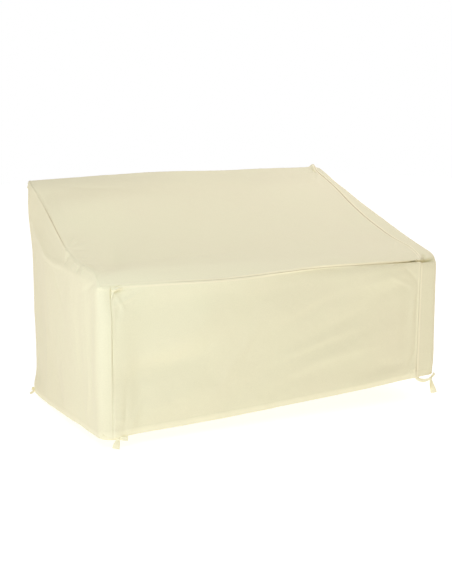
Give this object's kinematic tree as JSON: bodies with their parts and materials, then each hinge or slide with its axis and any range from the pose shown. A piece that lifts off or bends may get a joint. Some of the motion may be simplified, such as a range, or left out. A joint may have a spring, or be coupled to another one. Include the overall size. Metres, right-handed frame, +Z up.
{
  "type": "outdoor sofa cover",
  "caption": "Fitted cream cover for an outdoor sofa: a slope from the low front up to a high back ridge, upright sides, open underneath, with a knotted tie at each lower corner.",
  "frame": {"origin": "point on the inner face of the back ridge, midway across, where the cover rests on what it covers", "axes": "+X to the right seen from the front, +Y to the back, +Z up; the lower hem is about 0.90 m below the origin"},
  "size_m": [1.4397, 0.9338, 0.9273],
  "materials": {
    "cover_cloth": "coated plain weave, dull sheen",
    "tie_tape": "narrow strips of the same cloth, dull"
  },
  "bodies": {
    "root": {"front_panel": "cover_cloth", "slope_panel": "cover_cloth", "back_panel": "cover_cloth", "side_panel_left": "cover_cloth", "side_panel_right": "cover_cloth", "tie_front_left": "tie_tape", "tie_front_right": "tie_tape", "tie_back_left": "tie_tape", "tie_back_right": "tie_tape"}
  },
  "joints": []
}
